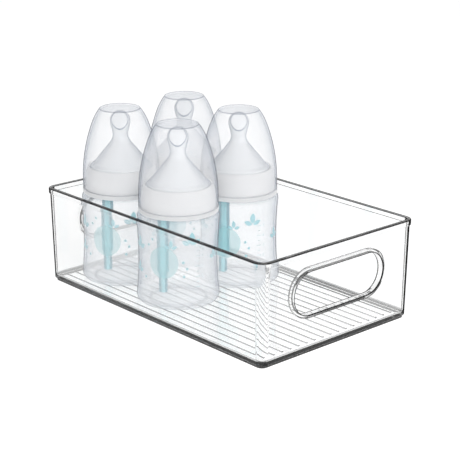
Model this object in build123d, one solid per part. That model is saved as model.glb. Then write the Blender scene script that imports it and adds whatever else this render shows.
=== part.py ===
"""A clear storage bin for baby bottles, with four capped feeding bottles standing in it.

Millimetres, +Z up. The origin is the centre of the bin's footprint, on the surface that it stands on.
The bin's long side runs along X, and the bottles stand at its -X end.
"""
from build123d import *
from math import atan, ceil, degrees, radians, sqrt
import os

# How far a chord may lie from the round outline that it follows
chord_depth = 0.15

# Bottle body, measured up from the bottle's own base
body_base_radius = 31.6
body_waist_inset = 1.6
body_waist_height = 28.0
body_top_inset = 0.4
body_shoulder_height = 69.6
body_shoulder_drop = 3.6
body_shoulder_inset = 3.2
body_corner_radius = 5.0
body_foot_width = 4.1
body_push_up = 2.4
body_push_up_slope = 9.5
body_wall = 1.7
neck_radius = 25.2
neck_wall = 2.0
mouth_height = 83.0

# Vent: a slotted disc on the mouth, with a stepped tube that reaches down to the base
vent_disc_thickness = 1.6
vent_rim_width = 5.0
vent_bridge_width = 13.0
vent_tube_offset = 11.4
vent_tube_radius = 4.4
vent_tip_radius = 3.3
vent_tip_length = 15.0
vent_bore_radius = 2.2
vent_base_gap = 0.9

# Silicone teat, which the ring's lip clamps by its flange
teat_flange_overhang = 0.2
teat_flange_thickness = 2.4
teat_skirt_height = 3.4
teat_skirt_round = 3.2
teat_cone_height = 15.0
teat_cone_top_radius = 8.8
teat_neck_rise = 6.6
teat_neck_radius = 6.0
teat_bulb_rise = 11.0
teat_bulb_radius = 8.0
teat_wall = 1.8
teat_face_depth = 5.2
teat_face_tilt = 20.0
teat_hole_radius = 0.4

# Screw ring
ring_thread_gap = 1.5
ring_wall = 1.9
ring_flange_height = 3.5
ring_side_height = 5.5
ring_lip_height = 3.5
ring_lip_reach = 1.2
ring_lip_width = 1.4
ring_seat_depth = 3.5
ring_shoulder_gap = 0.4

# Cap
cap_wall = 1.2
cap_headroom = 1.1
cap_straight_height = 7.0
cap_shoulder_radius = 21.7
cap_shoulder_drop = 10.8
cap_top_radius = 15.9
cap_edge_drop = 0.5

# Running clearances
soft_clearance = 0.3
cap_clearance = 0.35
cap_inset = 0.15

# How the bottles stand in the bin
bottle_gap = 1.8
bottle_end_clearance = 2.0
bottle_side_clearance = 8.5
front_bottle_shift = 4.4
bottle_turn = -41.2
free_floor_length = 107.4

# Bin
bin_height = 77.0
wall_thickness = 2.2
wall_draft = 1.5
floor_thickness = 2.2
base_corner_radius = 6.0
floor_edge_radius = 2.4
base_edge_radius = 1.2
foot_height = 1.8
foot_inset = 1.5
foot_width = 2.2
lip_overhang = 0.9
lip_depth = 4.5
lip_round = 0.7
rib_pitch = 8.0
rib_width = 1.6
rib_height = 0.6
rib_slope = 30.0
rib_margin = 6.0
handle_length = 90.0
handle_height = 32.0
handle_drop = 16.0
collar_width = 2.8
collar_depth = 3.2
collar_bevel = 0.9

# Worked out from the sizes above
body_waist_radius = body_base_radius - body_waist_inset
body_top_radius = body_base_radius - body_top_inset
body_shoulder_radius = body_top_radius - body_shoulder_inset
body_foot_radius = body_base_radius - body_corner_radius - body_foot_width
body_push_up_radius = body_foot_radius - body_push_up_slope

vent_top = mouth_height + vent_disc_thickness
flange_top = vent_top + teat_flange_thickness
teat_skirt_top = flange_top + teat_skirt_height
teat_cone_top = teat_skirt_top + teat_skirt_round + teat_cone_height
teat_bulb_height = teat_cone_top + teat_neck_rise + teat_bulb_rise
teat_top = teat_bulb_height + teat_bulb_radius
ring_top = flange_top + ring_lip_height
ring_bottom = body_shoulder_height + ring_shoulder_gap
ring_inner_radius = neck_radius + ring_thread_gap
ring_side_radius = ring_inner_radius + ring_wall
cap_bottom = ring_bottom + ring_flange_height
cap_top = teat_top + cap_headroom + cap_wall
cap_inner_radius = ring_side_radius + cap_clearance
cap_outer_radius = cap_inner_radius + cap_wall
ring_flange_radius = cap_outer_radius + cap_inset
vent_disc_radius = neck_radius
teat_flange_radius = vent_disc_radius + teat_flange_overhang
ring_seat_radius = teat_flange_radius + soft_clearance
ring_mouth_radius = ring_seat_radius - ring_lip_reach
ring_top_radius = ring_mouth_radius + ring_lip_width
teat_skirt_radius = ring_mouth_radius - soft_clearance

bottle_radius = max(body_base_radius, ring_flange_radius)
bottle_pitch = 2 * bottle_radius + bottle_gap
end_room = collar_depth + bottle_end_clearance
inner_length = end_room + bottle_pitch + 2 * bottle_radius + free_floor_length
inner_width = 2 * bottle_side_clearance + bottle_pitch + 2 * bottle_radius
base_length = inner_length + 2 * wall_thickness
base_width = inner_width + 2 * wall_thickness
floor_top = foot_height + floor_thickness
bottle_floor = floor_top + rib_height
handle_centre = bin_height - handle_drop - handle_height / 2
left_column_x = -inner_length / 2 + end_room + bottle_radius
front_row_y = -bottle_pitch / 2

bottle_places = {
    "left": (left_column_x, front_row_y),
    "front": (left_column_x + bottle_pitch + front_bottle_shift, front_row_y),
    "right": (left_column_x + bottle_pitch, front_row_y + bottle_pitch),
    "back": (left_column_x, front_row_y + bottle_pitch),
}


def bin_block(low, high, inset):
    """A drafted solid that fills the bin's plan between two heights, drawn in by an inset."""
    spread = wall_draft * low / bin_height - inset
    length = base_length + 2 * spread
    width = base_width + 2 * spread
    plan = RectangleRounded(length, width, base_corner_radius + spread)
    draft_angle = degrees(atan(wall_draft / bin_height))
    return Pos(0, 0, low) * extrude(plan, amount=high - low, taper=-draft_angle)


def edges_at(solid, height):
    """The edges of a solid that lie flat at a height."""
    return solid.edges().filter_by_position(Axis.Z, height, height)


def floor_ribs():
    """Low ribs along the floor, which the bottles stand on."""
    rib_length = inner_length - 2 * rib_margin
    count = int((inner_width - 2 * rib_margin) / rib_pitch) + 1
    start = -(count - 1) / 2 * rib_pitch
    root = Rectangle(rib_length, rib_width)
    rib = extrude(root, amount=rib_height, taper=rib_slope)
    return [Pos(0, start + i * rib_pitch, floor_top) * rib for i in range(count)]


def handle_collar(end):
    """The bead round a handle slot, turned in from one end wall."""
    slot_bottom = handle_centre - handle_height / 2 - collar_width
    wall_face = base_length / 2 + wall_draft * slot_bottom / bin_height
    outline = SlotOverall(handle_length + 2 * collar_width, handle_height + 2 * collar_width)
    depth = wall_thickness + collar_depth
    bead = extrude(Plane.YZ * outline, amount=depth)
    bead = chamfer(bead.faces().sort_by(Axis.X)[0].edges(), collar_bevel)
    bead = Pos(wall_face - depth, 0, handle_centre) * bead
    return bead if end > 0 else Rot(0, 0, 180) * bead


def make_bin():
    """The one-piece bin: drafted walls, lip, stepped foot, ribbed floor and two handle slots."""
    shell = bin_block(foot_height, bin_height, 0)
    shell = fillet(edges_at(shell, foot_height), base_edge_radius)
    lip = bin_block(bin_height - lip_depth, bin_height, -lip_overhang)
    lip = fillet(edges_at(lip, bin_height) + edges_at(lip, bin_height - lip_depth), lip_round)
    foot = bin_block(0, floor_top, foot_inset)
    foot -= bin_block(0, foot_height, foot_inset + foot_width)
    cavity = bin_block(floor_top, bin_height, wall_thickness)
    cavity = fillet(edges_at(cavity, floor_top), floor_edge_radius)
    slot = extrude(Plane.YZ * SlotOverall(handle_length, handle_height), amount=base_length, both=True)
    tub = shell + lip + foot - cavity
    tub += [handle_collar(1), handle_collar(-1)]
    tub += floor_ribs()
    return tub - Pos(0, 0, handle_centre) * slot


def chords(curve):
    """Points along a round outline after its first, as few as chord_depth allows.

    A chord lies an eighth of its arc's length times its turn from the arc.
    """
    turn = radians((curve % 0).get_angle(curve % 1))
    steps = max(2, ceil(sqrt(curve.length * turn / (8 * chord_depth))))
    return [curve @ (i / steps) for i in range(1, steps + 1)]


def turned(*points):
    """A solid of revolution about Z, from a closed outline in radius and height."""
    return revolve(Plane.XZ * make_face(Polyline(*points, close=True)), Axis.Z)


def bottle_filled(wall, neck_inset):
    """The bottle filled in with no wall, or its inside at the wall's thickness."""
    push_up = body_push_up + wall
    foot = (body_foot_radius, wall)
    corner = (body_base_radius - body_corner_radius, wall)
    side = (body_base_radius - wall, body_corner_radius)
    waist = (body_waist_radius - wall, body_waist_height)
    shoulder = (body_top_radius - wall, body_shoulder_height - body_shoulder_drop - wall)
    root = (body_shoulder_radius - wall, body_shoulder_height - wall)
    neck = neck_radius - neck_inset
    return turned(
        (0, push_up),
        (body_push_up_radius, push_up),
        foot,
        corner,
        *chords(TangentArc(corner, side, tangent=(1, 0))),
        *chords(ThreePointArc(side, waist, shoulder)),
        *chords(TangentArc(shoulder, root, tangent=(0, 1))),
        (neck, root[1]),
        (neck, mouth_height),
        (0, mouth_height),
    )


def make_body():
    """The blown bottle: pushed-up base, slight waist, round shoulder and wide neck."""
    return bottle_filled(0, 0) - bottle_filled(body_wall, neck_wall)


def make_vent():
    """The vent: a windowed disc on the mouth, and the tube under its bridge."""
    tube_end = body_push_up + body_wall + vent_base_gap
    step = tube_end + vent_tip_length
    disc = Cylinder(vent_disc_radius, vent_disc_thickness)
    window = Cylinder(vent_disc_radius - vent_rim_width, vent_disc_thickness)
    bridge = Box(2 * vent_disc_radius, vent_bridge_width, vent_disc_thickness)
    window -= Pos(0, -vent_tube_offset, 0) * bridge
    vent = Pos(0, 0, mouth_height + vent_disc_thickness / 2) * (disc - window)
    tube = turned(
        (0, tube_end),
        (vent_tip_radius, tube_end),
        (vent_tip_radius, step),
        (vent_tube_radius, step + vent_tube_radius - vent_tip_radius),
        (vent_tube_radius, mouth_height),
        (0, mouth_height),
    )
    vent += Pos(0, -vent_tube_offset, 0) * tube
    bore = extrude(Circle(vent_bore_radius), amount=vent_top)
    return vent - Pos(0, -vent_tube_offset, 0) * bore


def teat_filled(wall):
    """The teat filled in, drawn in by a wall, with the flattened face towards +X."""
    skirt = teat_skirt_radius - wall
    base = vent_top - wall
    skirt_top = teat_skirt_top - wall / 2
    round_end = (skirt - teat_skirt_round, skirt_top + teat_skirt_round)
    cone_end = (teat_cone_top_radius - wall / 2, teat_cone_top - wall / 2)
    cone = Line(round_end, cone_end)
    neck = (teat_neck_radius - wall, cone_end[1] + teat_neck_rise)
    bulb = (teat_bulb_radius - wall, neck[1] + teat_bulb_rise)
    tip = (0, bulb[1] + teat_bulb_radius - wall)
    filled = turned(
        (0, base),
        (skirt, base),
        (skirt, skirt_top),
        *chords(Spline((skirt, skirt_top), round_end, tangents=((0, 1), cone % 0))),
        cone_end,
        *chords(Spline(cone_end, neck, tangents=(cone % 1, (0, 1)))),
        *chords(Spline(neck, bulb, tangents=((0, 1), (0, 1)))),
        *chords(TangentArc(bulb, tip, tangent=(0, 1))),
    )
    across = 2 * teat_bulb_radius
    front = Box(across, across, across, align=(Align.MIN, Align.CENTER, Align.CENTER))
    face = Pos(0, 0, teat_bulb_height) * Rot(0, -teat_face_tilt, 0)
    return filled - face * Pos(teat_face_depth - wall, 0, 0) * front


def make_teat():
    """The hollow silicone teat, its clamping flange and its feeding hole."""
    flange = Cylinder(teat_flange_radius, teat_flange_thickness)
    teat = teat_filled(0) + Pos(0, 0, vent_top + teat_flange_thickness / 2) * flange
    teat -= teat_filled(teat_wall)
    hole = extrude(Circle(teat_hole_radius), amount=teat_top - teat_skirt_top)
    return teat - Pos(0, 0, teat_skirt_top) * hole


def make_ring():
    """The screw ring: bottom flange, domed side, and a lip that clamps the teat."""
    side_top = (ring_side_radius, cap_bottom + ring_side_height - ring_flange_height)
    dome_top = (ring_top_radius, ring_top)
    seat_bottom = flange_top - ring_seat_depth
    step = ring_inner_radius - ring_seat_radius
    return turned(
        (ring_mouth_radius, ring_top),
        (ring_mouth_radius, flange_top),
        (ring_seat_radius, flange_top),
        (ring_seat_radius, seat_bottom),
        (ring_inner_radius, seat_bottom - step),
        (ring_inner_radius, ring_bottom),
        (ring_flange_radius, ring_bottom),
        (ring_flange_radius, cap_bottom),
        (ring_side_radius, cap_bottom),
        side_top,
        *chords(TangentArc(side_top, dome_top, tangent=(0, 1))),
    )


def cap_filled(wall):
    """The cap filled in, or its inside at the wall's thickness."""
    top = cap_top - wall
    start = (cap_outer_radius - wall, cap_bottom)
    straight = (start[0], cap_bottom + cap_straight_height)
    shoulder = (cap_shoulder_radius - wall, top - cap_shoulder_drop)
    edge = (cap_top_radius - wall / 2, top - cap_edge_drop)
    side = TangentArc(straight, shoulder, tangent=(0, 1))
    return turned(
        (0, cap_bottom),
        start,
        straight,
        *chords(side),
        *chords(TangentArc(shoulder, edge, tangent=side % 1)),
        (edge[0] - cap_edge_drop, top),
        (0, top),
    )


def make_cap():
    """The thin bell-shaped cap that stands on the ring's flange."""
    return cap_filled(0) - cap_filled(cap_wall)


def make_bottle():
    """One bottle's five pieces in its own frame, its base at zero and its teat's face to +X."""
    return {
        "body": make_body(),
        "vent": make_vent(),
        "teat": make_teat(),
        "ring": make_ring(),
        "cap": make_cap(),
    }


def make_parts():
    """Every piece in its place, by node name."""
    parts = {"bin": make_bin()}
    bottle = make_bottle()
    for place, (x, y) in bottle_places.items():
        spot = Pos(x, y, bottle_floor) * Rot(0, 0, bottle_turn)
        for piece, solid in bottle.items():
            parts[f"{place}_bottle_{piece}"] = spot * solid
    return parts


os.makedirs("parts", exist_ok=True)
for name, solid in make_parts().items():
    export_step(solid, f"parts/{name}.step")
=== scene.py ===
"""A clear storage bin with four capped feeding bottles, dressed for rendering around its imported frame.

Metres in the frame, +Z up. Outlines and prints are in millimetres in one bottle's own frame, with
its axis on +Z, its base at zero and its front along FRONT, and each bottle is set in its place.
"""
import math

import bmesh
import bpy
from mathutils import Matrix, Vector


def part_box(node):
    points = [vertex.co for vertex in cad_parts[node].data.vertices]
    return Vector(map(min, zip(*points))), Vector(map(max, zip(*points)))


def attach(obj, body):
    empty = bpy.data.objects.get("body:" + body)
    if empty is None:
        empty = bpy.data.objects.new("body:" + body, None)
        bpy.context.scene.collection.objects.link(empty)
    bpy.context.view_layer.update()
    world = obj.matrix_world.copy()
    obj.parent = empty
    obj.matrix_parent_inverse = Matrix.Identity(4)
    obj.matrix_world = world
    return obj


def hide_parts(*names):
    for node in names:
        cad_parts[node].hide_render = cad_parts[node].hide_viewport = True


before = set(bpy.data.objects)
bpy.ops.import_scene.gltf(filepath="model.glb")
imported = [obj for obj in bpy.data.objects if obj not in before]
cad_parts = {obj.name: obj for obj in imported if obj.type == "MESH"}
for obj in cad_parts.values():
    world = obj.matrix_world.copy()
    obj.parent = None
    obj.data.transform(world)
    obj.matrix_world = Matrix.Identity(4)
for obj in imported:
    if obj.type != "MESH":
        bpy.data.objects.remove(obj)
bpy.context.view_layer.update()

scene = bpy.context.scene
MM = 0.001
PLACES = ("left", "front", "right", "back")
WHITE = (1, 1, 1, 1)

# Camera
CAMERA_AZIMUTH = 48.0
CAMERA_ELEVATION = 18.11
CAMERA_DISTANCE = 1.061
CAMERA_LENS = 108.88
CAMERA_SENSOR = 36
CAMERA_TARGET = Vector((4.68, 2.55, 55.2)) * MM

# Lamp and floor
KEY_PLACE = (1.1, -0.35, 0.9)
KEY_AIM = Vector((0, 0, 0.05))
KEY_SIZE = 0.9
KEY_POWER = 6.3
FLOOR_SIZE = 12
FLOOR_COLOR = (0.93, 0.93, 0.93, 1)
FLOOR_ROUGHNESS = 0.9
FLOOR_GLOW = 0.38

# White sky, with a dark band all round between two heights and a dark card beside the studio
SKY_LIGHT = 0.66
SKY_SEEN = 1.1
DARK = (0.05, 0.05, 0.05, 1)
BAND_BOTTOM = (0.42, 0.52)
BAND_TOP = (0.85, 0.95)
CARD_TURN = math.radians(205)
CARD_EDGE = (0.93, 0.96)

# Enough bounces for the walls that stand behind each other
BOUNCES = 24
CLEAR_BOUNCES = 48

# Turned meshes
SEGMENTS = 96
CURVE_STEPS = 14
SIDE_STEPS = 24
FOOT_STEPS = 3
SHARP_ANGLE = math.radians(40)
NO_RADIUS = 1e-6
NO_RISE = 1e-9

# One bottle, as in its solids
BOTTLE_TURN = math.radians(-41.2)
BASE_RADIUS = 31.6
WAIST_RADIUS = 30.0
WAIST_HEIGHT = 28.0
TOP_RADIUS = 31.2
SHOULDER_START = 66.0
SHOULDER_HEIGHT = 69.6
SHOULDER_RADIUS = 28.0
CORNER_RADIUS = 5.0
FOOT_RADIUS = 22.5
FOOT_SLOPE = -0.1
PUSH_UP = 2.4
PUSH_UP_RADIUS = 10.4
BODY_WALL = 1.7
NECK_RADIUS = 25.2
NECK_WALL = 2.0
MOUTH_HEIGHT = 83.0
FLANGE_TOP = 87.0
CLAMP_PLAY = 0.03
RING_BOTTOM = 70.0
RING_FLANGE_HEIGHT = 3.5
RING_SIDE_HEIGHT = 5.5
RING_TOP = 90.5
RING_FLANGE_RADIUS = 30.3
RING_SIDE_RADIUS = 28.6
RING_INNER_RADIUS = 26.7
RING_SEAT_RADIUS = 25.7
RING_SEAT_BOTTOM = 83.5
RING_MOUTH_RADIUS = 24.5
RING_TOP_RADIUS = 25.9
RING_BEVEL = 0.4
CAP_BOTTOM = 73.5
CAP_TOP = 136.5
CAP_WALL = 1.2
CAP_OUTER_RADIUS = 30.15
CAP_STRAIGHT = 7.0
CAP_SHOULDER_RADIUS = 21.7
CAP_SHOULDER_DROP = 10.8
CAP_TOP_RADIUS = 15.9
CAP_EDGE_DROP = 0.5
TEAT_BOTTOM = 84.6
TEAT_FLANGE_RADIUS = 25.4
TEAT_SKIRT_RADIUS = 24.2
TEAT_SKIRT_TOP = 90.4
TEAT_SKIRT_ROUND = 3.2
TEAT_CONE_TOP = 108.6
TEAT_CONE_TOP_RADIUS = 8.8
TEAT_NECK_HEIGHT = 115.2
TEAT_NECK_RADIUS = 6.0
TEAT_BULB_HEIGHT = 126.2
TEAT_BULB_RADIUS = 8.0
TEAT_WALL = 1.8
TEAT_FACE_DEPTH = 5.2
TEAT_FACE_TILT = math.radians(20)
THREAD_HEIGHT = 1.2
THREAD_ROOT = 0.3
THREAD_WIDTH = 2.0
THREAD_CREST = THREAD_WIDTH / 3
THREAD_LEAD = 5.0
THREAD_BOTTOM = 72.0
THREAD_TURNS = 1.5
THREAD_FADE = 1 / 8

# Prints on a bottle: arc lengths from the middle of its front, and heights
PRINT_LIFT = 0.06
PRINT_STEP = 1.5
PRINT_ROWS = range(6, 66, 4)
BERRY = (-11.0, 37.5, 12.2)
BERRY_STEPS = 60
SPRIGS = ((11.0, 52.5, 7.0), (-4.5, 49.5, 4.8), (-36.0, 46.0, 7.0), (-38.0, 27.0, 6.0), (36.0, 38.0, 6.0))
DOTS = ((5.0, 38.0), (8.0, 33.0), (5.5, 27.0), (-24.0, 50.0), (-20.0, 55.0), (-28.0, 24.0))
DOT_RADIUS = 1.1
DOT_STEPS = 20
LEAF_STEPS = 10
LEAF_WIDTH = 0.26
LEAF_ROUND = 0.8
LEAF_LEAN = 1.15
LEAF_TALL = 1.25
LEAF_ASIDE = 0.5
LEAF_DOWN = 0.6
SCALE_PLACE = 17.0
SCALE_LOW = 18.0
SCALE_STEP = 4.0
SCALE_MARKS = 9
SCALE_LONG = 4.0
SCALE_SHORT = 2.0
SCALE_THICK = 0.45
DIGIT_SIZE = 3.2
DIGIT_ASIDE = 4.4

# Where dark lines of painted shade fall on the clear bin, at its rim, slot contour, stepped foot and
# corners: places in metres, and the slants and tilts of its faces
RIM_TOP = 0.077
RIM_LINE = (RIM_TOP - 0.0009, RIM_TOP - 0.0006)
FOOT_LINE = (0.0010, 0.0008)
STEP_LINE = (0.0015, 0.0021)
BEVEL_LINE = (0.0029, 0.0034)
# painted shade that darkens the bin's walls towards the foot
FOOT_SHADE_BAND = (0.0058, 0.0050)
FOOT_SOFT = 0.0002
SLOT_REACH = 0.029
SLOT_RADIUS = 0.016
SLOT_HEIGHT = 0.045
SLOT_LINE = (0.0008, 0.0005)
SLOT_SOFT = 0.0003
SLOT_WALLS = 0.11
SLOT_OUTER = 0.1227
SLOT_INNER = 0.1185
WALL_TILT = (0.95, 0.85)
LEVEL_TILT = (0.9, 0.99)
CORNER_SLANT = (0.29, 0.39)
CORNER_TURN = (0.05, 0.15)

# How strongly the shade is painted there, and how much of that is painted black
RIM_LEVEL_LOSS = 0.12
BEVEL_SHADE = 0.6
FOOT_SHADE_SHARE = 0.35
SLOT_INNER_SHADE = 0.75
RIM_BLACK = 0.3
FOOT_BLACK = 0.55
SLOT_BLACK = 0.75
CORNER_BLACK = 0.95

# The bin's plastic, and the dark and the black of the shade painted at its edges
BIN_CLEAR = (0.988, 0.988, 0.988, 1)
# painted shade: the colour and the black filter of the bin's dark edge lines
BIN_PAINTED_SHADE = (0.004, 0.004, 0.004, 1)
BIN_PAINTED_BLACK = (0.03, 0.03, 0.03, 1)
BIN_DEPTH = (0.5, 0.51, 0.51, 1)
BIN_DENSITY = 10.0
BIN_IOR = 1.59
BIN_ROUGHNESS = (0.0, 0.03)

# Thin clear plastics: colours at slants from face on to edge on, and the veil's share at both ends
TINT_SLANTS = (0.4, 0.6, 0.74, 0.86)
CAP_TINTS = ((0.99, 0.99, 0.995, 1), (0.975, 0.98, 0.985, 1), (0.89, 0.90, 0.92, 1), (0.27, 0.29, 0.33, 1))
BODY_TINTS = ((0.984, 0.985, 0.99, 1), (0.968, 0.972, 0.982, 1), (0.88, 0.89, 0.91, 1), CAP_TINTS[3])
INSIDE_TINTS = (
    (0.995, 0.995, 0.998, 1), (0.985, 0.988, 0.993, 1), (0.95, 0.955, 0.965, 1), (0.72, 0.74, 0.78, 1))
MILK_SLANTS = (0.3, 0.88)
MILK = ((0.95, 0.955, 0.968, 1), (0.60, 0.63, 0.69, 1))
SILICONE = ((0.80, 0.82, 0.845, 1), (0.30, 0.34, 0.41, 1))
BODY_VEIL = (0.15, 0.40)
BODY_INSIDE_VEIL = (0.15, 0.30)
CAP_VEIL = (0.14, 0.34)
CAP_INSIDE_VEIL = (0.12, 0.20)
TEAT_VEIL = (0.80, 0.95)
TEAT_INSIDE_VEIL = (0.80, 0.9)
THIN_ROUGHNESS = (0.12, 0.24)
FLAT_TILT = (0.95, 0.999)
FLAT_LOSS = 0.16
GRAIN_SHARE = 0.04

# Painted shade in the creases of the thin plastics: millimetres from the edge that each follows, and the
# slant whose dark tint is painted there
CREASE_SOFT = 0.1
FACE_CREASE = (0.8, 0.12)
FACE_REACH = (-9, -8)
CAP_BEVEL = (0.8, 0.1)
CAP_BEVEL_SLANT = 0.8
CAP_MOUTH = (0.7, 0.5)
CAP_MOUTH_SLANT = 0.74
FOOT_CREASE = 2
FOOT_CREASE_SOFT = 0.3
FOOT_CREASE_SLANT = 0.84
BOTTOM_TOP = (0.9 * CORNER_RADIUS, 0.7 * CORNER_RADIUS)
BOTTOM_SLANT = 0.52

# White ring, teal vent, and inks with their cover
RING_TONES = ((0.0, (0.665, 0.675, 0.69, 1)), (1.0, (0.71, 0.715, 0.725, 1)))
RING_ROUGHNESS = 0.35
TEAL_TONES = ((0.13, (0.19, 0.62, 0.70, 1)), (0.25, (0.003, 0.24, 0.33, 1)))
TEAL_CLEAR = (0.7, 0.88, 0.9, 1)
TEAL_COVER = 0.93
TEAL_ROUGHNESS = 0.3
TEAL_GRAIN_SHARE = 0.06
INK_PALE = ((0.38, 0.64, 0.675, 1), 0.45)
INK_TEAL = ((0.34, 0.60, 0.66, 1), 0.8)
INK_SCALE = ((0.50, 0.68, 0.74, 1), 0.7)
INK_UNEVEN = 1.08
INK_ROUGHNESS = 0.45

FRONT = Vector((math.cos(BOTTLE_TURN), math.sin(BOTTLE_TURN), 0))
TEAT_FACE = FRONT * math.cos(TEAT_FACE_TILT) + Vector((0, 0, math.sin(TEAT_FACE_TILT)))


# Outlines, as (radius, height) points in millimetres

def arc_from(start, tangent, end, steps=CURVE_STEPS):
    """Points after start along the arc that leaves it along tangent and ends at end."""
    start, end = Vector(start), Vector(end)
    tangent = Vector(tangent).normalized()
    chord = end - start
    side = Vector((-tangent.y, tangent.x))
    rise = chord.dot(side)
    if abs(rise) < NO_RISE:
        return [tuple(start + chord * i / steps) for i in range(1, steps + 1)]
    radius = chord.length_squared / (2 * rise)
    centre = start + side * radius
    turn = 2 * math.atan2(chord.dot(side), chord.dot(tangent))
    spoke = start - centre
    points = []
    for i in range(1, steps + 1):
        angle = turn * i / steps
        c, s = math.cos(angle), math.sin(angle)
        points.append((centre.x + spoke.x * c - spoke.y * s, centre.y + spoke.x * s + spoke.y * c))
    return points


def end_tangent(start, tangent, end):
    """The direction in which arc_from arrives at its end."""
    chord = (Vector(end) - Vector(start)).normalized()
    tangent = Vector(tangent).normalized()
    return tuple(2 * chord.dot(tangent) * chord - tangent)


def circle_through(a, b, c):
    """Centre and radius of the circle through three points."""
    a, b, c = Vector(a), Vector(b), Vector(c)
    d = 2 * (a.x * (b.y - c.y) + b.x * (c.y - a.y) + c.x * (a.y - b.y))
    x = (a.length_squared * (b.y - c.y) + b.length_squared * (c.y - a.y)
         + c.length_squared * (a.y - b.y)) / d
    y = (a.length_squared * (c.x - b.x) + b.length_squared * (a.x - c.x)
         + c.length_squared * (b.x - a.x)) / d
    centre = Vector((x, y))
    return centre, (a - centre).length


def smooth(start, start_tangent, end, tangent, steps=CURVE_STEPS):
    """Points after start on a Hermite curve between two points and directions."""
    start, end = Vector(start), Vector(end)
    reach = (end - start).length
    a, b = Vector(start_tangent).normalized() * reach, Vector(tangent).normalized() * reach
    points = []
    for i in range(1, steps + 1):
        t = i / steps
        h1, h2 = 2 * t**3 - 3 * t**2 + 1, t**3 - 2 * t**2 + t
        h3, h4 = -2 * t**3 + 3 * t**2, t**3 - t**2
        points.append(tuple(start * h1 + a * h2 + end * h3 + b * h4))
    return points


SIDE_CENTRE, SIDE_RADIUS = circle_through(
    (BASE_RADIUS, CORNER_RADIUS), (WAIST_RADIUS, WAIST_HEIGHT), (TOP_RADIUS, SHOULDER_START))


def side_radius(height, wall=0):
    """The body's radius at a height on its waisted side, or its inside's at the wall."""
    return SIDE_CENTRE.x - math.sqrt(SIDE_RADIUS**2 - (height - SIDE_CENTRE.y)**2) - wall


def body_outline(wall, neck_radius):
    """The body's outside from the axis to the mouth, or its inside at the wall."""
    foot = (FOOT_RADIUS, wall)
    corner = (BASE_RADIUS - CORNER_RADIUS, wall)
    heights = [CORNER_RADIUS + (SHOULDER_START - CORNER_RADIUS) * i / SIDE_STEPS
               for i in range(SIDE_STEPS + 1)]
    side = [(side_radius(h, wall), h if h < SHOULDER_START else h - wall) for h in heights]
    root = (SHOULDER_RADIUS - wall, SHOULDER_HEIGHT - wall)
    slope = (side[-1][0] - side[-2][0], side[-1][1] - side[-2][1])
    return [
        (0, PUSH_UP + wall),
        (PUSH_UP_RADIUS, PUSH_UP + wall),
        *smooth((PUSH_UP_RADIUS, PUSH_UP + wall), (1, 0), foot, (1, FOOT_SLOPE)),
        *[(foot[0] + (corner[0] - foot[0]) * i / FOOT_STEPS, wall) for i in range(1, FOOT_STEPS + 1)],
        *arc_from(corner, (1, 0), side[0]),
        *side[1:],
        *arc_from(side[-1], slope, root),
        (neck_radius, root[1]),
        (neck_radius, MOUTH_HEIGHT),
    ]


def teat_outline(wall):
    """The teat's outside from the flange's underside to the tip, or its inside."""
    skirt = TEAT_SKIRT_RADIUS - wall
    top = TEAT_SKIRT_TOP - wall / 2
    round_end = (skirt - TEAT_SKIRT_ROUND, top + TEAT_SKIRT_ROUND)
    cone_end = (TEAT_CONE_TOP_RADIUS - wall / 2, TEAT_CONE_TOP - wall / 2)
    cone = (cone_end[0] - round_end[0], cone_end[1] - round_end[1])
    neck = (TEAT_NECK_RADIUS - wall, TEAT_NECK_HEIGHT - wall / 2)
    bulb = (TEAT_BULB_RADIUS - wall, TEAT_BULB_HEIGHT - wall / 2)
    tip = (0, bulb[1] + TEAT_BULB_RADIUS - wall)
    return [
        (skirt, TEAT_BOTTOM),
        (skirt, top),
        *smooth((skirt, top), (0, 1), round_end, cone),
        cone_end,
        *smooth(cone_end, cone, neck, (0, 1)),
        *smooth(neck, (0, 1), bulb, (0, 1), 2 * CURVE_STEPS),
        *arc_from(bulb, (0, 1), tip, 2 * CURVE_STEPS),
    ]


def cap_outline(wall):
    """The cap's outside from its open rim to the axis, or its inside."""
    top = CAP_TOP - wall
    start = (CAP_OUTER_RADIUS - wall, CAP_BOTTOM)
    straight = (start[0], CAP_BOTTOM + CAP_STRAIGHT)
    shoulder = (CAP_SHOULDER_RADIUS - wall, top - CAP_SHOULDER_DROP)
    edge = (CAP_TOP_RADIUS - wall / 2, top - CAP_EDGE_DROP)
    return [
        start,
        straight,
        *arc_from(straight, (0, 1), shoulder, 2 * CURVE_STEPS),
        *arc_from(shoulder, end_tangent(straight, (0, 1), shoulder), edge),
        (edge[0] - CAP_EDGE_DROP, top),
        (0, top),
    ]


def ring_outline():
    """The ring's closed section."""
    side_top = (RING_SIDE_RADIUS, CAP_BOTTOM + RING_SIDE_HEIGHT - RING_FLANGE_HEIGHT)
    step = RING_INNER_RADIUS - RING_SEAT_RADIUS
    return [
        (RING_MOUTH_RADIUS, RING_TOP - RING_BEVEL),
        (RING_MOUTH_RADIUS, FLANGE_TOP),
        (RING_SEAT_RADIUS, FLANGE_TOP),
        (RING_SEAT_RADIUS, RING_SEAT_BOTTOM),
        (RING_INNER_RADIUS, RING_SEAT_BOTTOM - step),
        (RING_INNER_RADIUS, RING_BOTTOM),
        (RING_FLANGE_RADIUS - RING_BEVEL, RING_BOTTOM),
        (RING_FLANGE_RADIUS, RING_BOTTOM + RING_BEVEL),
        (RING_FLANGE_RADIUS, CAP_BOTTOM - RING_BEVEL),
        (RING_FLANGE_RADIUS - RING_BEVEL, CAP_BOTTOM),
        (RING_SIDE_RADIUS, CAP_BOTTOM),
        side_top,
        *arc_from(side_top, (0, 1), (RING_TOP_RADIUS, RING_TOP)),
        (RING_MOUTH_RADIUS + RING_BEVEL, RING_TOP),
    ]


# Meshes

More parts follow.
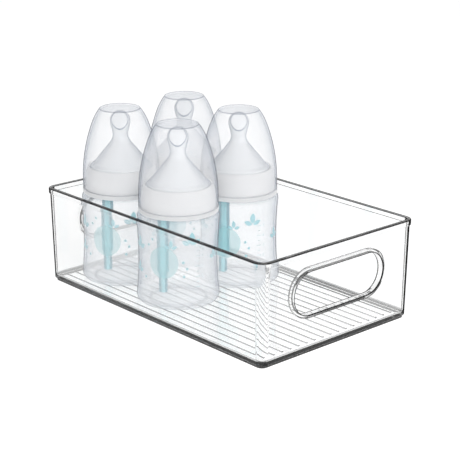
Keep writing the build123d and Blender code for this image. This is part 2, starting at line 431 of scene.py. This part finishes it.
def lathe(name, outline, closed=False, outside=None):
    """A mesh turned about Z from an outline in millimetres.

    The spans of the outline from outside's start to its end get the first material, which they all
    do without it, and the rest get the second.
    """
    first, last = outside or (0, len(outline))
    bm = bmesh.new()
    rings = []
    for radius, height in outline:
        if radius < NO_RADIUS:
            rings.append([bm.verts.new((0, 0, height * MM))])
        else:
            turn = [2 * math.pi * k / SEGMENTS for k in range(SEGMENTS)]
            rings.append([bm.verts.new((radius * MM * math.cos(t), radius * MM * math.sin(t), height * MM))
                          for t in turn])
    pairs = list(zip(rings, rings[1:])) + ([(rings[-1], rings[0])] if closed else [])
    for span, (low, high) in enumerate(pairs):
        for k in range(SEGMENTS):
            n = (k + 1) % SEGMENTS
            corners = [low[k % len(low)], low[n % len(low)], high[n % len(high)], high[k % len(high)]]
            unique = list(dict.fromkeys(corners))
            if len(unique) > 2:
                face = bm.faces.new(unique)
                face.material_index = 0 if first <= span < last else 1
    bmesh.ops.recalc_face_normals(bm, faces=bm.faces)
    return finished(bm, name)


def finished(bm, name):
    """The mesh of a bmesh, smooth apart from its sharp edges."""
    mesh = bpy.data.meshes.new(name)
    bm.to_mesh(mesh)
    bm.free()
    mesh.shade_smooth()
    mesh.set_sharp_from_angle(angle=SHARP_ANGLE)
    return mesh


def thread_mesh():
    """The ridge of the neck's screw thread, which fades in and out at its ends."""
    bm = bmesh.new()
    steps = int(SEGMENTS * THREAD_TURNS)
    rows = []
    for i in range(steps + 1):
        turn = 2 * math.pi * i / SEGMENTS
        rise = THREAD_BOTTOM + THREAD_LEAD * i / SEGMENTS
        reach = THREAD_HEIGHT * min(1, i / steps / THREAD_FADE, (steps - i) / steps / THREAD_FADE)
        section = ((-THREAD_ROOT, -THREAD_WIDTH / 2), (reach, -THREAD_CREST / 2),
                   (reach, THREAD_CREST / 2), (-THREAD_ROOT, THREAD_WIDTH / 2))
        rows.append([bm.verts.new(((NECK_RADIUS + out) * MM * math.cos(turn),
                                   (NECK_RADIUS + out) * MM * math.sin(turn), (rise + up) * MM))
                     for out, up in section])
    for low, high in zip(rows, rows[1:]):
        for k in range(len(low)):
            n = (k + 1) % len(low)
            bm.faces.new((low[k], high[k], high[n], low[n]))
    bm.faces.new(rows[0])
    bm.faces.new(list(reversed(rows[-1])))
    bmesh.ops.recalc_face_normals(bm, faces=bm.faces)
    return finished(bm, "thread")


def wrapped(name, outlines, words=()):
    """Flat outlines, and words with a size and a place, wrapped onto the body's side."""
    bm = bmesh.new()
    for outline in outlines:
        bm.faces.new([bm.verts.new((u, v, 0)) for u, v in outline])
    for word, size, u, v in words:
        curve = bpy.data.curves.new(word, "FONT")
        curve.body, curve.size, curve.align_x, curve.align_y = word, size, "CENTER", "CENTER"
        holder = bpy.data.objects.new(word, curve)
        glyph = bpy.data.meshes.new_from_object(holder)
        glyph.transform(Matrix.Translation((u, v, 0)))
        bm.from_mesh(glyph)
        bpy.data.objects.remove(holder)
        bpy.data.meshes.remove(glyph)
        bpy.data.curves.remove(curve)
    bmesh.ops.triangulate(bm, faces=bm.faces)
    reach = max(abs(vert.co.x) for vert in bm.verts)
    count = int(reach / PRINT_STEP) + 1
    cuts = [((i * PRINT_STEP, 0, 0), (1, 0, 0)) for i in range(-count, count + 1)]
    cuts += [((0, height, 0), (0, 1, 0)) for height in PRINT_ROWS]
    for place, direction in cuts:
        whole = bm.verts[:] + bm.edges[:] + bm.faces[:]
        bmesh.ops.bisect_plane(bm, geom=whole, plane_co=place, plane_no=direction)
    for vert in bm.verts:
        radius = (side_radius(vert.co.y) + PRINT_LIFT) * MM
        angle = BOTTLE_TURN + vert.co.x / BASE_RADIUS
        vert.co = (radius * math.cos(angle), radius * math.sin(angle), vert.co.y * MM)
    return finished(bm, name)


def disc_outline(u, v, radius, steps=DOT_STEPS):
    """A disc about a place."""
    turns = [2 * math.pi * k / steps for k in range(steps)]
    return [(u + radius * math.cos(t), v + radius * math.sin(t)) for t in turns]


def leaf_outline(u, v, length, lean):
    """A pointed leaf that grows from a place at a lean from upright."""
    shares = [k / LEAF_STEPS for k in range(LEAF_STEPS + 1)]
    side = [(length * s, LEAF_WIDTH * length * math.sin(math.pi * s)**LEAF_ROUND) for s in shares]
    outline = side + [(a, -b) for a, b in reversed(side[1:-1])]
    c, s = math.cos(lean), math.sin(lean)
    return [(u + a * s + b * c, v + a * c - b * s) for a, b in outline]


def print_meshes():
    """The pale berry, the stronger sprigs and dots, and a plain graduated scale."""
    pale = wrapped("print_pale", [disc_outline(*BERRY, BERRY_STEPS)])
    strong = [disc_outline(u, v, DOT_RADIUS) for u, v in DOTS]
    for u, v, size in SPRIGS:
        strong.append(leaf_outline(u, v, LEAF_TALL * size, 0))
        strong.append(leaf_outline(u + LEAF_ASIDE, v - LEAF_DOWN, size, LEAF_LEAN))
        strong.append(leaf_outline(u - LEAF_ASIDE, v - LEAF_DOWN, size, -LEAF_LEAN))
    scale = []
    for i in range(SCALE_MARKS):
        low, width = SCALE_LOW + i * SCALE_STEP, SCALE_LONG if i % 2 == 0 else SCALE_SHORT
        left, high = SCALE_PLACE - width / 2, low + SCALE_THICK
        scale.append([(left, low), (left + width, low), (left + width, high), (left, high)])
    words = [(str(i // 2 + 1), DIGIT_SIZE, SCALE_PLACE + DIGIT_ASIDE, SCALE_LOW + i * SCALE_STEP)
             for i in range(0, SCALE_MARKS, 2)]
    return pale, wrapped("print_teal", strong), wrapped("print_scale", scale, words)


def add(name, mesh, material, body, node=None, at=None):
    """A piece with its material, in its place and riding on its body."""
    piece = bpy.data.objects.new(name, mesh)
    scene.collection.objects.link(piece)
    if at is not None:
        piece.location = at
    if not mesh.materials:
        for each in material if isinstance(material, tuple) else (material,):
            mesh.materials.append(each)
    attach(piece, body)
    if node:
        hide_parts(node)
    return piece


# Materials

def new_material(name):
    """A material with its tree, its shader and its output."""
    material = bpy.data.materials.new(name)
    material.use_nodes = True
    tree = material.node_tree
    return material, tree, tree.nodes["Principled BSDF"], tree.nodes["Material Output"]


def node(tree, kind, **values):
    """A new node, with its values set on the inputs or else the properties of those names."""
    made = tree.nodes.new(kind)
    for key, value in values.items():
        if key in made.inputs:
            made.inputs[key].default_value = value
        else:
            setattr(made, key, value)
    return made


def plug(tree, value, socket):
    """Gives an input a plain number, or links another socket to it."""
    if isinstance(value, (int, float)):
        socket.default_value = value
    else:
        tree.links.new(value, socket)


def object_point(tree):
    return node(tree, "ShaderNodeTexCoord").outputs["Object"]


def normal(tree):
    return node(tree, "ShaderNodeNewGeometry").outputs["Normal"]


def parts(tree, vector):
    """The three parts of a vector."""
    split = node(tree, "ShaderNodeSeparateXYZ")
    tree.links.new(vector, split.inputs[0])
    return split.outputs


def along(tree, vector, direction):
    """How far a vector reaches in a direction."""
    made = node(tree, "ShaderNodeVectorMath", operation="DOT_PRODUCT")
    tree.links.new(vector, made.inputs[0])
    made.inputs[1].default_value = direction
    return made.outputs["Value"]


def maths(tree, operation, a, b=0.0):
    """A math node's output, from sockets or plain numbers."""
    made = node(tree, "ShaderNodeMath", operation=operation)
    for socket, value in zip(made.inputs, (a, b)):
        plug(tree, value, socket)
    return made.outputs[0]


def rises(tree, value, low, high):
    """0 below low and 1 above high."""
    made = node(tree, "ShaderNodeMapRange")
    made.inputs["From Min"].default_value = low
    made.inputs["From Max"].default_value = high
    tree.links.new(value, made.inputs["Value"])
    return made.outputs["Result"]


def spread(tree, value, low, high):
    """low where the value is 0 and high where it is 1."""
    made = node(tree, "ShaderNodeMapRange")
    made.inputs["To Min"].default_value = low
    made.inputs["To Max"].default_value = high
    tree.links.new(value, made.inputs["Value"])
    return made.outputs["Result"]


def between(tree, value, low, high, soft):
    """1 between low and high, with soft ends."""
    return maths(tree, "MULTIPLY", rises(tree, value, low - soft, low),
                 rises(tree, value, high + soft, high))


def toned(tree, value, stops):
    """A colour that follows a value through stops, each a place and its colour."""
    made = node(tree, "ShaderNodeValToRGB")
    elements = made.color_ramp.elements
    for element, (place, color) in zip(elements, (stops[0], stops[-1])):
        element.position, element.color = place, color
    for place, color in stops[1:-1]:
        elements.new(place).color = color
    tree.links.new(value, made.inputs["Fac"])
    return made.outputs["Color"]


def painted(tree, share, under, color):
    """A colour socket with a share of one colour over it."""
    made = node(tree, "ShaderNodeMix", data_type="RGBA")
    tree.links.new(share, made.inputs[0])
    tree.links.new(under, made.inputs[6])
    made.inputs[7].default_value = color
    return made.outputs[2]


def mixed(tree, share, first, second):
    """Two shaders mixed by the second one's share."""
    made = node(tree, "ShaderNodeMixShader")
    plug(tree, share, made.inputs["Fac"])
    tree.links.new(first, made.inputs[1])
    tree.links.new(second, made.inputs[2])
    return made.outputs[0]


def grained(tree, shader, scale, detail, strength, distance):
    """Gives a shader a fine bump, and returns the noise behind it."""
    grain = node(tree, "ShaderNodeTexNoise", Scale=scale, Detail=detail)
    tree.links.new(object_point(tree), grain.inputs["Vector"])
    bump = node(tree, "ShaderNodeBump", Strength=strength, Distance=distance)
    tree.links.new(grain.outputs["Fac"], bump.inputs["Height"])
    tree.links.new(bump.outputs["Normal"], shader.inputs["Normal"])
    return grain.outputs["Fac"]


def lighting(tree):
    """1 for the rays that carry light, which the clear plastics let through untouched."""
    path = node(tree, "ShaderNodeLightPath").outputs
    return maths(tree, "MAXIMUM", path["Is Shadow Ray"], path["Is Diffuse Ray"])


def painted_edge_shade(tree):
    """Where dark lines of shade are painted on the bin's rim, slot contour, stepped foot and corners, and
    how black.
    """
    x, y, z = parts(tree, object_point(tree))
    side = parts(tree, normal(tree))
    wall = rises(tree, maths(tree, "ABSOLUTE", side[2]), *WALL_TILT)
    level = rises(tree, side[2], *LEVEL_TILT)
    rim = maths(tree, "MULTIPLY", rises(tree, z, *RIM_LINE),
                maths(tree, "SUBTRACT", 1.0, maths(tree, "MULTIPLY", level, RIM_LEVEL_LOSS)))
    low = maths(tree, "MAXIMUM", rises(tree, z, *FOOT_LINE), between(tree, z, *STEP_LINE, FOOT_SOFT))
    for band, share in ((rises(tree, z, *FOOT_SHADE_BAND), FOOT_SHADE_SHARE),
                        (between(tree, z, *BEVEL_LINE, FOOT_SOFT), BEVEL_SHADE)):
        low = maths(tree, "MAXIMUM", low, maths(tree, "MULTIPLY", band, share))
    foot = maths(tree, "MULTIPLY", wall, low)
    across = maths(tree, "MAXIMUM", maths(tree, "SUBTRACT", maths(tree, "ABSOLUTE", y), SLOT_REACH), 0.0)
    above = maths(tree, "SUBTRACT", z, SLOT_HEIGHT)
    square = maths(tree, "ADD", maths(tree, "MULTIPLY", across, across),
                   maths(tree, "MULTIPLY", above, above))
    off = maths(tree, "ABSOLUTE", maths(tree, "SUBTRACT", maths(tree, "SQRT", square), SLOT_RADIUS))
    depth = maths(tree, "ABSOLUTE", x)
    outer = rises(tree, depth, SLOT_OUTER, SLOT_OUTER + SLOT_SOFT)
    inner = maths(tree, "MULTIPLY", between(tree, depth, SLOT_WALLS, SLOT_INNER, SLOT_SOFT),
                  SLOT_INNER_SHADE)
    slot = maths(tree, "MULTIPLY", rises(tree, off, *SLOT_LINE), maths(tree, "MAXIMUM", outer, inner))
    # painted shade: a dark line on the rounded corners where they turn away
    facing = node(tree, "ShaderNodeLayerWeight", Blend=0.5)
    slanted = rises(tree, facing.outputs["Facing"], *CORNER_SLANT)
    turned = maths(tree, "MINIMUM", maths(tree, "ABSOLUTE", side[0]), maths(tree, "ABSOLUTE", side[1]))
    corner = maths(tree, "MULTIPLY", slanted, rises(tree, turned, *CORNER_TURN))
    shade = maths(tree, "MAXIMUM", maths(tree, "MAXIMUM", rim, foot), slot)
    black = maths(tree, "MULTIPLY", rim, RIM_BLACK)
    for place, share in ((foot, FOOT_BLACK), (slot, SLOT_BLACK), (corner, CORNER_BLACK)):
        black = maths(tree, "MAXIMUM", black, maths(tree, "MULTIPLY", place, share))
    return shade, black


def clear_bin():
    """Clear polystyrene: real refraction, painted shade in dark lines at its edges, and faint flow marks.
    """
    material, tree, shader, output = new_material("bin_clear")
    link = tree.links.new
    shade, black = painted_edge_shade(tree)
    # painted shade: base colour darkened and a black filter mixed in where the edge lines are painted
    link(toned(tree, shade, ((0.0, BIN_CLEAR), (1.0, BIN_PAINTED_SHADE))), shader.inputs["Base Color"])
    shader.inputs["IOR"].default_value = BIN_IOR
    shader.inputs["Transmission Weight"].default_value = 1.0
    marks = grained(tree, shader, scale=60.0, detail=3.0, strength=0.03, distance=0.0005)
    link(spread(tree, marks, *BIN_ROUGHNESS), shader.inputs["Roughness"])
    dark = node(tree, "ShaderNodeBsdfTransparent", Color=BIN_PAINTED_BLACK)
    edged = mixed(tree, black, shader.outputs[0], dark.outputs[0])
    clear = node(tree, "ShaderNodeBsdfTransparent")
    link(mixed(tree, lighting(tree), edged, clear.outputs[0]), output.inputs["Surface"])
    depth = node(tree, "ShaderNodeVolumeAbsorption", Color=BIN_DEPTH, Density=BIN_DENSITY)
    link(depth.outputs[0], output.inputs["Volume"])
    return material


def thin_clear(name, tints, veil, milk, creases=None):
    """Thin clear plastic: tinted where it is seen edge on, a faint milky veil and a soft gloss.

    The tints are the colours at four slants, the veil is its share face on and edge on, and milk is
    its colours there. Creases is a mask of places painted with the dark tint of the slant it gives, as
    shade in creases and at edges.
    """
    material, tree, shader, output = new_material(name)
    link = tree.links.new
    grain = grained(tree, shader, scale=180.0, detail=4.0, strength=0.04, distance=0.0002)
    facing = node(tree, "ShaderNodeLayerWeight", Blend=0.5)
    flat = rises(tree, maths(tree, "ABSOLUTE", parts(tree, normal(tree))[2]), *FLAT_TILT)
    slant = maths(tree, "MULTIPLY", facing.outputs["Facing"],
                  maths(tree, "SUBTRACT", 1.0, maths(tree, "MULTIPLY", flat, FLAT_LOSS)))
    if creases:
        # painted shade: the crease masks lend their places a darker tint
        slant = maths(tree, "MAXIMUM", slant, creases(tree))
    light = lighting(tree)
    clear = node(tree, "ShaderNodeBsdfTransparent")
    tint = toned(tree, slant, tuple(zip(TINT_SLANTS, tints)))
    link(painted(tree, light, tint, WHITE), clear.inputs["Color"])
    slant = maths(tree, "ADD", slant, maths(tree, "MULTIPLY", grain, GRAIN_SHARE))
    link(toned(tree, slant, tuple(zip(MILK_SLANTS, milk))), shader.inputs["Base Color"])
    link(spread(tree, grain, *THIN_ROUGHNESS), shader.inputs["Roughness"])
    share = maths(tree, "MULTIPLY", spread(tree, slant, *veil), maths(tree, "SUBTRACT", 1.0, light))
    link(mixed(tree, share, clear.outputs[0], shader.outputs[0]), output.inputs["Surface"])
    return material


def face_rim(tree):
    """A mask of the crease round the teat's flattened face, where a dark outline is painted as shade."""
    arm = node(tree, "ShaderNodeVectorMath", operation="SUBTRACT")
    tree.links.new(object_point(tree), arm.inputs[0])
    arm.inputs[1].default_value = (0, 0, TEAT_BULB_HEIGHT * MM)
    low, high = (TEAT_FACE_DEPTH - depth for depth in FACE_CREASE)
    crease = between(tree, along(tree, arm.outputs[0], TEAT_FACE), low * MM, high * MM, CREASE_SOFT * MM)
    bulb = rises(tree, parts(tree, arm.outputs[0])[2], FACE_REACH[0] * MM, FACE_REACH[1] * MM)
    return maths(tree, "MULTIPLY", crease, bulb)


def cap_rim(tree):
    """A mask of the bevel round the cap's flat top, and of its open edge, where dark lines are painted as
    shade.
    """
    z = parts(tree, object_point(tree))[2]
    low, high = (CAP_TOP - depth for depth in CAP_BEVEL)
    bevel = between(tree, z, low * MM, high * MM, CREASE_SOFT * MM)
    mouth = rises(tree, z, (CAP_BOTTOM + CAP_MOUTH[0]) * MM, (CAP_BOTTOM + CAP_MOUTH[1]) * MM)
    return maths(tree, "MAXIMUM", maths(tree, "MULTIPLY", bevel, CAP_BEVEL_SLANT),
                 maths(tree, "MULTIPLY", mouth, CAP_MOUTH_SLANT))


def floor_rim(tree):
    """A mask of the bottle's thick bottom and of the edge of its pushed-up middle, both painted darker as
    shade.
    """
    x, y, z = parts(tree, object_point(tree))
    square = maths(tree, "ADD", maths(tree, "MULTIPLY", x, x), maths(tree, "MULTIPLY", y, y))
    edge = between(tree, maths(tree, "SQRT", square), (FOOT_RADIUS - FOOT_CREASE) * MM, FOOT_RADIUS * MM,
                   FOOT_CREASE_SOFT * MM)
    bottom = rises(tree, z, BOTTOM_TOP[0] * MM, BOTTOM_TOP[1] * MM)
    return maths(tree, "MULTIPLY", bottom,
                 maths(tree, "MAXIMUM", maths(tree, "MULTIPLY", edge, FOOT_CREASE_SLANT), BOTTOM_SLANT))


def ink(name, color, cover):
    """Slightly uneven printing ink that covers most of what is behind it."""
    material, tree, shader, output = new_material(name)
    grain = grained(tree, shader, scale=900.0, detail=3.0, strength=0.05, distance=0.0001)
    lighter = tuple(min(1, INK_UNEVEN * part) for part in color)
    tree.links.new(toned(tree, grain, ((0.0, color), (1.0, lighter))), shader.inputs["Base Color"])
    shader.inputs["Roughness"].default_value = INK_ROUGHNESS
    clear = node(tree, "ShaderNodeBsdfTransparent")
    tree.links.new(mixed(tree, cover, clear.outputs[0], shader.outputs[0]), output.inputs["Surface"])
    return material


def ring_plastic():
    """White satin plastic."""
    material, tree, shader, _ = new_material("ring_white")
    grain = grained(tree, shader, scale=300.0, detail=4.0, strength=0.05, distance=0.0002)
    tree.links.new(toned(tree, grain, RING_TONES), shader.inputs["Base Color"])
    shader.inputs["Roughness"].default_value = RING_ROUGHNESS
    return material


def teal_plastic():
    """Pale teal translucent plastic of the vent, darker towards its edges."""
    material, tree, shader, output = new_material("vent_teal")
    facing = node(tree, "ShaderNodeLayerWeight", Blend=0.5)
    grain = grained(tree, shader, scale=250.0, detail=3.0, strength=0.04, distance=0.0002)
    slant = maths(tree, "ADD", facing.outputs["Facing"], maths(tree, "MULTIPLY", grain, TEAL_GRAIN_SHARE))
    tree.links.new(toned(tree, slant, TEAL_TONES), shader.inputs["Base Color"])
    shader.inputs["Roughness"].default_value = TEAL_ROUGHNESS
    clear = node(tree, "ShaderNodeBsdfTransparent", Color=TEAL_CLEAR)
    tree.links.new(mixed(tree, TEAL_COVER, clear.outputs[0], shader.outputs[0]), output.inputs["Surface"])
    return material


# Pieces

def dress_bottles():
    """Replaces each bottle's turned solids with smooth shells of the same sizes."""
    outer, inner = body_outline(0, NECK_RADIUS), body_outline(BODY_WALL, NECK_RADIUS - NECK_WALL)
    body_mesh = lathe("body", outer + inner[::-1], outside=(0, len(outer)))
    outer, inner = cap_outline(0), cap_outline(CAP_WALL)
    cap_mesh = lathe("cap", outer[::-1] + inner, outside=(0, len(outer) - 1))
    ring_mesh = lathe("ring", ring_outline(), closed=True)
    clamped = FLANGE_TOP - CLAMP_PLAY
    flange = [(TEAT_FLANGE_RADIUS, TEAT_BOTTOM), (TEAT_FLANGE_RADIUS, clamped),
              (TEAT_SKIRT_RADIUS, clamped)]
    inner, outer = teat_outline(TEAT_WALL)[::-1], flange + teat_outline(0)[1:]
    teat_mesh = lathe("teat", inner + outer, outside=(len(inner), len(inner + outer)))
    flatten_teat(teat_mesh)
    body_clear = (thin_clear("bottle_clear", BODY_TINTS, BODY_VEIL, MILK, floor_rim),
                  thin_clear("bottle_inside", INSIDE_TINTS, BODY_INSIDE_VEIL, MILK, floor_rim))
    cap_clear = (thin_clear("cap_clear", CAP_TINTS, CAP_VEIL, MILK, cap_rim),
                 thin_clear("cap_inside", INSIDE_TINTS, CAP_INSIDE_VEIL, MILK, cap_rim))
    silicone = (thin_clear("teat_silicone", CAP_TINTS, TEAT_VEIL, SILICONE, face_rim),
                thin_clear("teat_inside", INSIDE_TINTS, TEAT_INSIDE_VEIL, SILICONE))
    white, teal = ring_plastic(), teal_plastic()
    thread = thread_mesh()
    pale, strong, scale = print_meshes()
    inks = ((pale, ink("ink_pale", *INK_PALE)), (strong, ink("ink_teal", *INK_TEAL)),
            (scale, ink("ink_scale", *INK_SCALE)))
    for place in PLACES:
        low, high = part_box(f"{place}_bottle_body")
        at = Vector(((low.x + high.x) / 2, (low.y + high.y) / 2, low.z))
        for piece, mesh, look, body, slot in (
            ("body", body_mesh, body_clear, "bottle", "bottle_plastic"),
            ("teat", teat_mesh, silicone, "feed", "teat_silicone"),
            ("ring", ring_mesh, white, "ring", "ring_plastic"),
            ("cap", cap_mesh, cap_clear, "cap", "cap_plastic"),
        ):
            name = f"{place}_bottle_{piece}"
            add(name + "_visual", mesh, look, f"{place}_{body}", name, at)
        add(f"{place}_neck_thread", thread, body_clear, f"{place}_bottle", at=at)
        for mesh, look in inks:
            add(f"{place}_{mesh.name}", mesh, look, f"{place}_bottle", at=at)
        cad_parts[f"{place}_bottle_vent"].data.materials.clear()
        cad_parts[f"{place}_bottle_vent"].data.materials.append(teal)


def flatten_teat(mesh):
    """Presses the bulb's front onto the tilted face, outside and inside."""
    centre = Vector((0, 0, TEAT_BULB_HEIGHT * MM))
    inner_radius = (TEAT_BULB_RADIUS - TEAT_WALL / 2) * MM
    for vertex in mesh.vertices:
        arm = vertex.co - centre
        if vertex.co.z < TEAT_NECK_HEIGHT * MM:
            continue
        inside = arm.length < inner_radius
        depth = (TEAT_FACE_DEPTH - (TEAT_WALL if inside else 0)) * MM
        past = arm.dot(TEAT_FACE) - depth
        if past > 0:
            vertex.co -= TEAT_FACE * past


def dress_bin():
    """Gives the bin's own solid its clear plastic."""
    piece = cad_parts["bin"]
    piece.data.materials.clear()
    piece.data.materials.append(clear_bin())


# Studio

def make_floor():
    """A plain pale floor that glows a little, so that it meets the sky without a line."""
    bpy.ops.mesh.primitive_plane_add(size=FLOOR_SIZE)
    floor = bpy.context.object
    floor.name = "floor"
    material, _, shader, _ = new_material("floor_white")
    shader.inputs["Base Color"].default_value = FLOOR_COLOR
    shader.inputs["Roughness"].default_value = FLOOR_ROUGHNESS
    shader.inputs["Specular IOR Level"].default_value = 0.0
    shader.inputs["Emission Color"].default_value = WHITE
    shader.inputs["Emission Strength"].default_value = FLOOR_GLOW
    floor.data.materials.append(material)


def make_world():
    """White all round for light, with a dark band and a dark card that only glass and gloss see."""
    world = bpy.data.worlds.new("studio")
    scene.world = world
    world.use_nodes = True
    tree = world.node_tree
    light = tree.nodes["Background"]
    light.inputs["Color"].default_value = WHITE
    light.inputs["Strength"].default_value = SKY_LIGHT
    look = node(tree, "ShaderNodeTexCoord").outputs["Generated"]
    band = toned(tree, parts(tree, look)[2], (
        (BAND_BOTTOM[0], WHITE), (BAND_BOTTOM[1], DARK), (BAND_TOP[0], DARK), (BAND_TOP[1], WHITE)))
    card = rises(tree, along(tree, look, (math.cos(CARD_TURN), math.sin(CARD_TURN), 0)), *CARD_EDGE)
    gloss = node(tree, "ShaderNodeBackground", Strength=SKY_SEEN)
    tree.links.new(painted(tree, card, band, DARK), gloss.inputs["Color"])
    seen = node(tree, "ShaderNodeBackground", Color=WHITE, Strength=SKY_SEEN)
    path = node(tree, "ShaderNodeLightPath").outputs
    sharp = maths(tree, "MAXIMUM", path["Is Glossy Ray"], path["Is Transmission Ray"])
    direct = mixed(tree, path["Is Camera Ray"], light.outputs[0], seen.outputs[0])
    tree.links.new(mixed(tree, sharp, direct, gloss.outputs[0]),
                   tree.nodes["World Output"].inputs["Surface"])


def make_key():
    """One soft round lamp."""
    light = bpy.data.lights.new("key", "AREA")
    light.shape = "DISK"
    light.size = KEY_SIZE
    light.energy = KEY_POWER
    key = bpy.data.objects.new("key", light)
    key.location = KEY_PLACE
    key.rotation_euler = (KEY_AIM - key.location).to_track_quat("-Z", "Y").to_euler()
    scene.collection.objects.link(key)


def make_camera():
    azimuth, elevation = math.radians(CAMERA_AZIMUTH), math.radians(CAMERA_ELEVATION)
    back = Vector((math.sin(azimuth) * math.cos(elevation),
                   -math.cos(azimuth) * math.cos(elevation), math.sin(elevation)))
    data = bpy.data.cameras.new("camera")
    data.sensor_width = CAMERA_SENSOR
    data.lens = CAMERA_LENS
    camera = bpy.data.objects.new("camera", data)
    camera.location = CAMERA_TARGET + back * CAMERA_DISTANCE
    camera.rotation_euler = back.to_track_quat("Z", "Y").to_euler()
    scene.collection.objects.link(camera)
    scene.camera = camera


scene.view_settings.view_transform = "Standard"
scene.cycles.max_bounces = BOUNCES
scene.cycles.transmission_bounces = BOUNCES
scene.cycles.transparent_max_bounces = CLEAR_BOUNCES
make_camera()
make_world()
make_key()
make_floor()
dress_bin()
dress_bottles()
